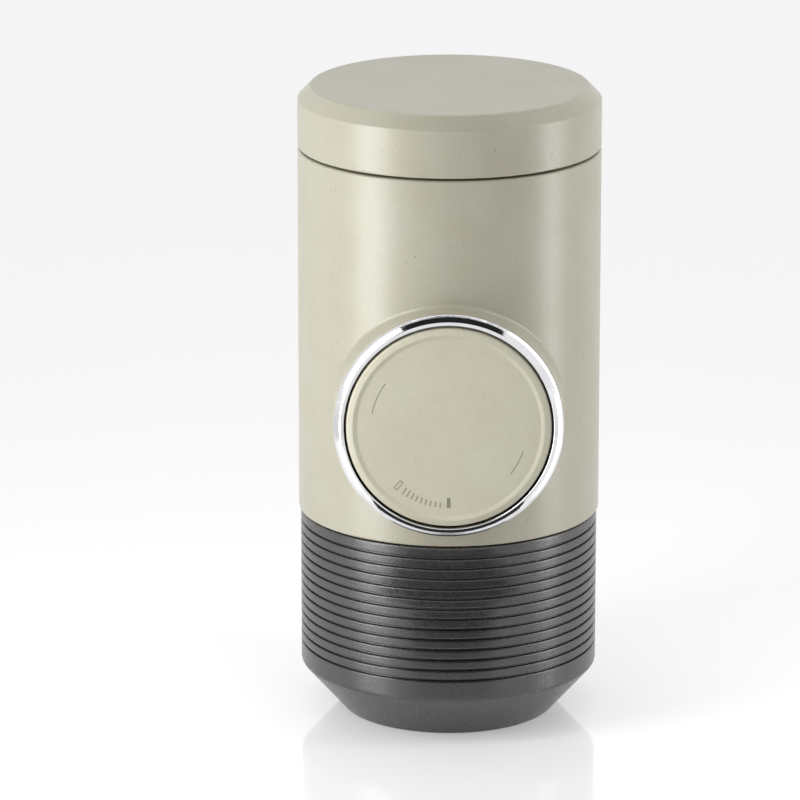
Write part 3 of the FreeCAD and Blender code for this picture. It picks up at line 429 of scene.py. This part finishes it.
def make_cup():
    """The cup: a cone on a flat foot, then a straight wall with rounded grooves."""
    radius = CUP_HIGH.x
    bore = radius - CUP_WALL
    groove_radius = radius - GROOVE_DEPTH
    corners = [
        (0, 0, 0),
        (CONE_FOOT, 0, FOOT_ROUND),
        (radius, CONE_TOP, CONE_ROUND),
    ]
    for number in reversed(range(RIB_COUNT)):
        middle = CUP_HIGH.z - RIB_FIRST - RIB_PITCH * number
        half = GROOVE_WIDTH / 2
        corners += [
            (radius, middle - half, GROOVE_LIP),
            (groove_radius, middle - half, GROOVE_FLOOR_ROUND),
            (groove_radius, middle + half, GROOVE_FLOOR_ROUND),
            (radius, middle + half, GROOVE_LIP),
        ]
    corners += [
        (radius, CUP_HIGH.z, EDGE_ROUND),
        (bore, CUP_HIGH.z, EDGE_ROUND),
        (bore, CONE_TOP + CUP_FLOOR, CONE_ROUND),
        (CONE_FOOT - CUP_WALL, CUP_FLOOR, CUP_INNER_ROUND),
        (0, CUP_FLOOR, 0),
    ]
    vertices, faces = lathe(softened(corners))
    new_piece("cup_skin", vertices, faces, "cup", CUP_PAINT, "cup_shell")


# Body wall with its boss, laid out so that every vertex lies on its true surface

# The patch is a grid of rings between the opening and a straight frame round it
PATCH_STEPS = 192
PATCH_RINGS = 12
PATCH_HALF_ANGLE = math.radians(62)
PATCH_MARGIN = 0.3 * MM
BACK_COLUMNS = 96


class Wall:
    """One side of the body's wall: a cylinder with a round opening towards the front."""

    def __init__(self, radius, outward):
        self.radius = radius
        self.outward = outward
        self.vertices = []
        self.normals = []
        self.faces = []

    def vertex(self, point, normal):
        self.vertices.append(Vector(point))
        self.normals.append(Vector(normal).normalized())
        return len(self.vertices) - 1

    def on_wall(self, angle, level):
        """A vertex on the cylinder; angle 0 faces the front."""
        x, y = math.sin(angle), -math.cos(angle)
        sign = 1 if self.outward else -1
        return self.vertex((x * self.radius, y * self.radius, level), (x * sign, y * sign, 0))

    def quad(self, a, b, c, d):
        self.faces.append((a, b, c, d) if self.outward else (d, c, b, a))

    def strip(self, first, second, ring=False):
        """Faces between two rows of vertices."""
        count = len(first) if ring else len(first) - 1
        for step in range(count):
            after = (step + 1) % len(first)
            self.quad(first[step], first[after], second[after], second[step])


def frame_point(step, half_height):
    """Where the patch's ray meets the patch's straight frame, as an angle and a height."""
    c = math.cos(TURN * step / PATCH_STEPS)
    s = math.sin(TURN * step / PATCH_STEPS)
    widest = max(abs(c), abs(s))
    return PATCH_HALF_ANGLE * c / widest, half_height * s / widest


def build_wall(wall, low, high, edge_round, opening_ring):
    """Grid and patch of one side, from the patch's inner ring of vertices.

    Returns the columns' angles and the lowest and highest rows of vertices.
    """
    half_height = min(KNOB_AXIS - low, high - KNOB_AXIS) - edge_round - PATCH_MARGIN
    eighth = PATCH_STEPS // 8
    grid = {}

    side_steps = range(-eighth, eighth + 1)
    side_levels = [frame_point(step, half_height)[1] + KNOB_AXIS for step in side_steps]
    top_steps = range(3 * eighth, eighth - 1, -1)
    front_angles = [frame_point(step, half_height)[0] for step in top_steps]
    back_span = TURN - 2 * PATCH_HALF_ANGLE
    back_angles = [
        PATCH_HALF_ANGLE + back_span * (step + 1) / BACK_COLUMNS
        for step in range(BACK_COLUMNS - 1)
    ]
    angles = front_angles + back_angles
    front_count = len(front_angles)

    below = [low + edge_round, (low + edge_round + side_levels[0]) / 2]
    above_span = high - edge_round - side_levels[-1]
    above = [side_levels[-1] + above_span * share for share in (0.35, 0.7, 1.0)]
    levels = below + side_levels + above
    first_side = len(below)
    last_side = first_side + len(side_levels) - 1

    for row, level in enumerate(levels):
        for column, angle in enumerate(angles):
            inside = 0 < column < front_count - 1 and first_side < row < last_side
            if not inside:
                grid[row, column] = wall.on_wall(angle, level)
    columns = len(angles)
    for row in range(len(levels) - 1):
        for column in range(columns):
            after = (column + 1) % columns
            keys = [(row, column), (row, after), (row + 1, after), (row + 1, column)]
            hole = column < front_count - 1 and first_side <= row < last_side
            if not hole:
                wall.quad(*[grid[key] for key in keys])

    frame_ring = []
    for step in range(PATCH_STEPS):
        frame_ring.append(grid[frame_key(step, eighth, first_side, last_side, front_count)])
    fill_patch(wall, opening_ring, frame_ring, half_height)
    bottom = [grid[0, column] for column in range(columns)]
    top = [grid[len(levels) - 1, column] for column in range(columns)]
    return angles, bottom, top


def frame_key(step, eighth, first_side, last_side, front_count):
    """Row and column of the grid vertex on the patch's frame at a step round it."""
    turned = (step + eighth) % PATCH_STEPS
    side, along = divmod(turned, 2 * eighth)
    if side == 0:
        return first_side + along, front_count - 1
    if side == 1:
        return last_side, front_count - 1 - along
    if side == 2:
        return last_side - along, 0
    return first_side, along


def fill_patch(wall, opening_ring, frame_ring, half_height):
    """Rings of vertices on the cylinder from the opening out to the frame."""
    opening = [wall_place(wall.vertices[index]) for index in opening_ring]
    previous = opening_ring
    for ring in range(1, PATCH_RINGS):
        share = ring / PATCH_RINGS
        current = []
        for step in range(PATCH_STEPS):
            angle, level = frame_point(step, half_height)
            start_angle, start_level = opening[step]
            current.append(
                wall.on_wall(
                    start_angle + (angle - start_angle) * share,
                    start_level + (level + KNOB_AXIS - start_level) * share,
                )
            )
        wall.strip(current, previous, ring=True)
        previous = current
    wall.strip(frame_ring, previous, ring=True)


def wall_place(point):
    """Angle from the front and height of a point."""
    return math.atan2(point.x, -point.y), point.z


def boss_rings(wall):
    """The boss's front edge, side and blend; returns the ring where the blend meets the wall."""
    edge = BOSS_EDGE
    front = -BOSS_REACH
    start = []
    for step in range(PATCH_STEPS):
        phi = TURN * step / PATCH_STEPS
        start.append((math.cos(phi), math.sin(phi)))
    rings = []
    for radius in (BOSS_BORE, BOSS_BORE + 0.1 * MM, BOSS_RADIUS - edge - SUPPORT):
        rings.append(
            [
                wall.vertex((c * radius, front, s * radius + KNOB_AXIS), (0, -1, 0))
                for c, s in start
            ]
        )
    for turn in range(ARC_STEPS + 1):
        lean = math.pi / 2 * turn / ARC_STEPS
        radius = BOSS_RADIUS - edge + edge * math.sin(lean)
        depth = front + edge - edge * math.cos(lean)
        rings.append(
            [
                wall.vertex(
                    (c * radius, depth, s * radius + KNOB_AXIS),
                    (c * math.sin(lean), -math.cos(lean), s * math.sin(lean)),
                )
                for c, s in start
            ]
        )
    rings.append(
        [
            wall.vertex((c * BOSS_RADIUS, front + edge * 3, s * BOSS_RADIUS + KNOB_AXIS), (c, 0, s))
            for c, s in start
        ]
    )
    for turn in range(ARC_STEPS + 1):
        rings.append([blend_vertex(wall, c, s, turn / ARC_STEPS) for c, s in start])
    for inner, outer in zip(rings, rings[1:]):
        wall.strip(outer, inner, ring=True)
    return rings[-1]


def blend_vertex(wall, c, s, share):
    """A point of the rounding between boss and wall: a ball rolled along both."""
    x = c * (BOSS_RADIUS + BOSS_BLEND)
    y = -math.sqrt((wall.radius + BOSS_BLEND) ** 2 - x**2)
    centre = Vector((x, y, s * (BOSS_RADIUS + BOSS_BLEND) + KNOB_AXIS))
    to_boss = Vector((-c, 0, -s))
    to_wall = Vector((-x, -y, 0)).normalized()
    way = to_boss.slerp(to_wall, share) if share < 1 else to_wall
    return wall.vertex(centre + way * BOSS_BLEND, -way)


def rim_ring(wall, angles, radius, level, normal_out, normal_up):
    """A ring of vertices with normals that lean outwards and upwards."""
    return [
        wall.vertex(
            (math.sin(a) * radius, -math.cos(a) * radius, level),
            (math.sin(a) * normal_out, -math.cos(a) * normal_out, normal_up),
        )
        for a in angles
    ]


def rim(wall, angles, edge_row, level, upward):
    """The rounded edge from the outer wall over to the flat end face."""
    sign = 1 if upward else -1
    rows = [edge_row]
    for turn in range(1, ARC_STEPS + 1):
        lean = math.pi / 2 * turn / ARC_STEPS
        radius = BODY_RADIUS - EDGE_ROUND + EDGE_ROUND * math.cos(lean)
        height = level - sign * (EDGE_ROUND - EDGE_ROUND * math.sin(lean))
        rows.append(rim_ring(wall, angles, radius, height, math.cos(lean), sign * math.sin(lean)))
    rows.append(rim_ring(wall, angles, SHELL_BORE, level, 0, sign))
    for first, second in zip(rows, rows[1:]):
        if upward:
            wall.strip(first, second, ring=True)
        else:
            wall.strip(second, first, ring=True)


def make_body():
    """The body's shell: outer wall with boss and rims, inner wall, and the boss's bore."""
    low, high = BODY_LOW.z, BODY_HIGH.z
    outer = Wall(BODY_RADIUS, True)
    blend_edge = boss_rings(outer)
    angles, bottom, top = build_wall(outer, low, high, EDGE_ROUND, blend_edge)
    rim(outer, angles, top, high, True)
    rim(outer, angles, bottom, low, False)

    inner = Wall(SHELL_BORE, False)
    bore_edge = []
    front_edge = []
    for step in range(PATCH_STEPS):
        phi = TURN * step / PATCH_STEPS
        c, s = math.cos(phi), math.sin(phi)
        x = c * BOSS_BORE
        y = -math.sqrt(SHELL_BORE**2 - x**2)
        bore_edge.append(inner.vertex((x, y, s * BOSS_BORE + KNOB_AXIS), (-x, -y, 0)))
        front_edge.append((c, s, y))
    build_wall(inner, low, high, 0, bore_edge)
    add_boss_bore(outer, front_edge)

    shift = len(outer.vertices)
    vertices = outer.vertices + inner.vertices
    faces = outer.faces + [tuple(i + shift for i in face) for face in inner.faces]
    normals = outer.normals + inner.normals
    new_piece("body_skin", vertices, faces, "housing", STONE_PAINT, "body_shell", normals)


def add_boss_bore(wall, edge):
    """The boss's bore from its front face back to the inside of the wall."""
    front = []
    back = []
    for c, s, y in edge:
        place = (c * BOSS_BORE, s * BOSS_BORE + KNOB_AXIS)
        front.append(wall.vertex((place[0], -BOSS_REACH, place[1]), (-c, 0, -s)))
        back.append(wall.vertex((place[0], y, place[1]), (-c, 0, -s)))
    wall.strip(front, back, ring=True)


# Ring, knob and its marks

RING_GAP = 0.45 * MM


def make_ring():
    """The chrome ring: a seat on the boss, a steep side, a shoulder and a round front edge."""
    bore = KNOB_RADIUS + RING_GAP
    collar = BOSS_BORE - CLEARANCE
    seat = BOSS_REACH
    face = -RING_LOW.y
    radius = RING_HIGH.x
    profile = softened(
        [
            (bore, -RING_HIGH.y, 0),
            (collar, -RING_HIGH.y, 0),
            (collar, seat, 0),
            (radius, seat, 0.12 * MM),
            (radius, seat + 0.5 * MM, 0.2 * MM),
            (radius - 0.45 * MM, seat + 1.05 * MM, 0.5 * MM),
            (radius - 1.25 * MM, face - 0.35 * MM, 0.9 * MM),
            (bore, face, 0.25 * MM),
        ]
    )
    vertices, faces = lathe(profile)
    new_piece("ring_skin", to_front(vertices), faces, "housing", CHROME_PAINT, "bezel_ring")


CAP_EDGE = 1.4 * MM
CAP_DISH = 0.35 * MM
POCKET_RADIUS = 5.5 * MM
POCKET_DEPTH = 2.1 * MM


def make_cap():
    """The knob's disc: a raised rim round a slightly dished face, and a pocket behind."""
    face = -CAP_LOW.y
    back = -CAP_HIGH.y
    flat = KNOB_RADIUS - CAP_EDGE
    pocket = back + POCKET_DEPTH - CAP_DISH
    corners = [
        (POCKET_RADIUS, back, 0),
        (KNOB_RADIUS, back, 0.2 * MM),
        (KNOB_RADIUS, face - 0.5 * MM, 0.6 * MM),
        (flat, face, 0.5 * MM),
        (flat - 0.9 * MM, face - CAP_DISH, 0.8 * MM),
        (0, face - CAP_DISH, 0),
        (0, pocket, 0),
        (POCKET_RADIUS, pocket, 0),
    ]
    vertices, faces = lathe(softened(corners))
    new_piece("cap_skin", to_front(vertices), faces, "knob", KNOB_PAINT, "knob_cap")


MARK_RISE = 0.02 * MM
MARK_DEEP = 0.05 * MM
MARK_STEP = math.radians(1.5)


class Marks:
    """Thin printed strips on the knob's face, angles clockwise from the top."""

    def __init__(self):
        self.vertices = []
        self.faces = []

    def strip(self, inner, outer, start, stop):
        """A ring's stretch between two angles in degrees."""
        first, last = math.radians(start), math.radians(stop)
        steps = max(1, round(abs(last - first) / MARK_STEP))
        face = -CAP_LOW.y - CAP_DISH
        base = len(self.vertices)
        for step in range(steps + 1):
            angle = first + (last - first) * step / steps
            across, up = math.sin(angle), math.cos(angle)
            for radius in (inner, outer):
                for depth in (face - MARK_DEEP, face + MARK_RISE):
                    self.vertices.append(Vector((across * radius, -depth, up * radius + KNOB_AXIS)))
        for step in range(steps):
            a = base + step * 4
            b = a + 4
            self.faces += [
                (a + 1, a + 3, b + 3, b + 1),
                (a, b, b + 2, a + 2),
                (a, a + 1, b + 1, b),
                (a + 2, b + 2, b + 3, a + 3),
            ]
        end = base + steps * 4
        self.faces += [(base, base + 2, base + 3, base + 1), (end, end + 1, end + 3, end + 2)]

    def bar(self, middle, width, inner, outer):
        """A short radial bar of a width in millimetres at an angle in degrees."""
        half = math.degrees(width * MM / 2 / ((inner + outer) * MM / 2))
        self.strip(inner * MM, outer * MM, middle - half, middle + half)


# Marks, in millimetres from the knob's axis and degrees clockwise from the top
ARC_RADIUS = 16.4
ARC_HALF_WIDTH = 0.09
ARCS = ((281, 306), (108, 128))
BAR_INNER = 15.3
BAR_OUTER = 17.5
SOLID_BAR_AT = 180
SOLID_BAR_WIDTH = 0.75
TICK_COUNT = 9
TICK_FIRST = 186
TICK_PITCH = 3.5
TICK_WIDTH = 0.24
TICK_INNER = 16.5
TICK_GROWTH = 0.08
HOLLOW_BAR_AT = 220
HOLLOW_SIDE = 1.35
HOLLOW_END = 1.3
HOLLOW_LINE = 0.16


def make_marks():
    """Two thin arcs, and a scale of ticks between a solid bar and a hollow one."""
    marks = Marks()
    for start, stop in ARCS:
        inner, outer = ARC_RADIUS - ARC_HALF_WIDTH, ARC_RADIUS + ARC_HALF_WIDTH
        marks.strip(inner * MM, outer * MM, start, stop)
    marks.bar(SOLID_BAR_AT, SOLID_BAR_WIDTH, BAR_INNER, BAR_OUTER)
    for number in range(TICK_COUNT):
        middle = TICK_FIRST + TICK_PITCH * number
        marks.bar(middle, TICK_WIDTH, TICK_INNER - TICK_GROWTH * number, BAR_OUTER)
    for side in (-HOLLOW_SIDE, HOLLOW_SIDE):
        marks.bar(HOLLOW_BAR_AT + side, HOLLOW_LINE, BAR_INNER, BAR_OUTER)
    for inner in (BAR_INNER, BAR_OUTER - HOLLOW_LINE):
        first, last = HOLLOW_BAR_AT - HOLLOW_END, HOLLOW_BAR_AT + HOLLOW_END
        marks.strip(inner * MM, (inner + HOLLOW_LINE) * MM, first, last)
    new_piece("knob_marks", marks.vertices, marks.faces, "knob", MARK_PAINT)


# Stage

FLOOR_HALF_SIZE = 3.0
FLOOR_DROP = 0.02 * MM
FLOOR_WHITE = (0.86, 0.86, 0.86)
FLOOR_SHADE = (0.85, 0.85, 0.85)
FLOOR_LIFT = 0.26
WORLD_LEVEL = 0.45


def make_floor():
    """A plain pale floor with a sheen, lifted where camera, glossy or transmitted rays see it."""
    size = FLOOR_HALF_SIZE
    corners = [(-size, -size, 0), (size, -size, 0), (size, size, 0), (-size, size, 0)]
    paint = Paint("floor_paint", FLOOR_WHITE, 0.09, specular=1.0)
    tone = paint.ranged(paint.noise(4, 2), 0.3, 0.7, 0, 1)
    colour = paint.mixed(tone, FLOOR_WHITE, FLOOR_SHADE)
    paint.link(colour, paint.shader.inputs["Base Color"])
    paint.shader.inputs["Emission Color"].default_value = (1, 1, 1, 1)
    lift = paint.maths("MULTIPLY", seen_directly(paint.tree), FLOOR_LIFT)
    paint.link(lift, paint.shader.inputs["Emission Strength"])
    floor = set_piece("floor", corners, paint.material)
    floor.location.z = -FLOOR_DROP


def set_piece(name, corners, material):
    """A flat four-sided piece of the studio."""
    mesh = bpy.data.meshes.new(name)
    mesh.from_pydata(corners, [], [(0, 1, 2, 3)])
    piece = bpy.data.objects.new(name, mesh)
    bpy.context.scene.collection.objects.link(piece)
    mesh.materials.append(material)
    return piece


def seen_directly(tree):
    """1 for camera, glossy and transmitted rays, otherwise 0."""
    path = tree.nodes.new("ShaderNodeLightPath")
    rays = path.outputs["Is Camera Ray"]
    for name in ("Is Glossy Ray", "Is Transmission Ray"):
        either = tree.nodes.new("ShaderNodeMath")
        either.operation = "MAXIMUM"
        tree.links.new(rays, either.inputs[0])
        tree.links.new(path.outputs[name], either.inputs[1])
        rays = either.outputs[0]
    return rays


def make_world():
    """A white surround that lights the object at a plain level."""
    world = bpy.data.worlds.new("studio")
    bpy.context.scene.world = world
    world.use_nodes = True
    tree = world.node_tree
    background = tree.nodes["Background"]
    background.inputs["Color"].default_value = (1, 1, 1, 1)
    strength = tree.nodes.new("ShaderNodeMix")
    strength.data_type = "FLOAT"
    strength.inputs[2].default_value = WORLD_LEVEL
    strength.inputs[3].default_value = 1.0
    tree.links.new(seen_directly(tree), strength.inputs[0])
    tree.links.new(strength.outputs[0], background.inputs["Strength"])


# Dark cards that only reflections see: corners in metres
FLAGS = {
    "flag_above": [(-0.3, -0.5, 0.42), (0.3, -0.5, 0.42), (0.3, -0.06, 0.5), (-0.3, -0.06, 0.5)],
    "flag_under": [
        (-0.035, -0.09, 0.03),
        (0.035, -0.09, 0.03),
        (0.03, -0.036, 0.03),
        (-0.03, -0.036, 0.03),
    ],
    "flag_front": [(-0.04, -0.09, 0), (0.05, -0.09, 0), (0.05, -0.09, 0.03), (-0.04, -0.09, 0.03)],
}


def make_flags():
    """The dark cards in front of and above the object."""
    paint = Paint("flag_paint", (0.01, 0.01, 0.01), 0.9)
    for name, corners in FLAGS.items():
        flag = set_piece(name, corners, paint.material)
        flag.visible_camera = False
        flag.visible_diffuse = False
        flag.visible_shadow = False
        flag.visible_transmission = False


def area_light(name, place, aim, width, height, power):
    """A rectangular lamp, sizes in metres and power in watts, unseen by the camera."""
    data = bpy.data.lights.new(name, "AREA")
    data.shape = "RECTANGLE"
    data.size = width
    data.size_y = height
    data.energy = power
    light = bpy.data.objects.new(name, data)
    light.location = place
    light.rotation_mode = "QUATERNION"
    light.rotation_quaternion = (Vector(aim) - Vector(place)).to_track_quat("-Z", "Y")
    light.visible_camera = False
    bpy.context.scene.collection.objects.link(light)


STRIP_MIDDLE = 0.155
STRIP_HEIGHT = 0.31
BOX_SIDE = 0.8


def make_lights():
    """An upright strip on each side of the object and a soft box over it."""
    aim = (0, 0, STRIP_MIDDLE)
    area_light("left_strip", (-0.166, -0.112, STRIP_MIDDLE), aim, 0.085, STRIP_HEIGHT, 0.42)
    area_light("right_strip", (0.196, -0.042, STRIP_MIDDLE), aim, 0.055, STRIP_HEIGHT, 0.21)
    area_light("top_box", (0.0, 0.1, 0.95), (0, 0, 0.1), BOX_SIDE, BOX_SIDE, 1.3)


# Camera at the photograph's viewpoint

CAMERA_BACK = 1198.08 * MM
CAMERA_ABOVE_SEAM = 280.735 * MM
CAMERA_PITCH = math.radians(15.726)
CAMERA_YAW = math.radians(0.506)
CAMERA_LENS = 258.85
CAMERA_SENSOR = 36.0


def make_camera():
    """A long lens in front of the object, looking down on it."""
    data = bpy.data.cameras.new("camera")
    data.lens = CAMERA_LENS
    data.sensor_width = CAMERA_SENSOR
    data.clip_start = 0.05
    data.clip_end = 20.0
    camera = bpy.data.objects.new("camera", data)
    seam = (BODY_HIGH.z + LID_LOW.z) / 2
    cy, sy = math.cos(CAMERA_YAW), math.sin(CAMERA_YAW)
    cp, sp = math.cos(CAMERA_PITCH), math.sin(CAMERA_PITCH)
    right = Vector((cy, sy, 0))
    forward = Vector((-sy * cp, cy * cp, -sp))
    up = Vector((-sy * sp, cy * sp, cp))
    turn = Matrix((right, up, -forward)).transposed()
    place = Matrix.Translation((0, -CAMERA_BACK, seam + CAMERA_ABOVE_SEAM))
    camera.matrix_world = place @ turn.to_4x4()
    bpy.context.scene.collection.objects.link(camera)
    bpy.context.scene.camera = camera


paint_nodes()
make_lid()
make_body()
make_cup()
make_ring()
make_cap()
make_marks()
make_floor()
make_world()
make_flags()
make_lights()
make_camera()
bpy.context.scene.view_settings.view_transform = "Standard"
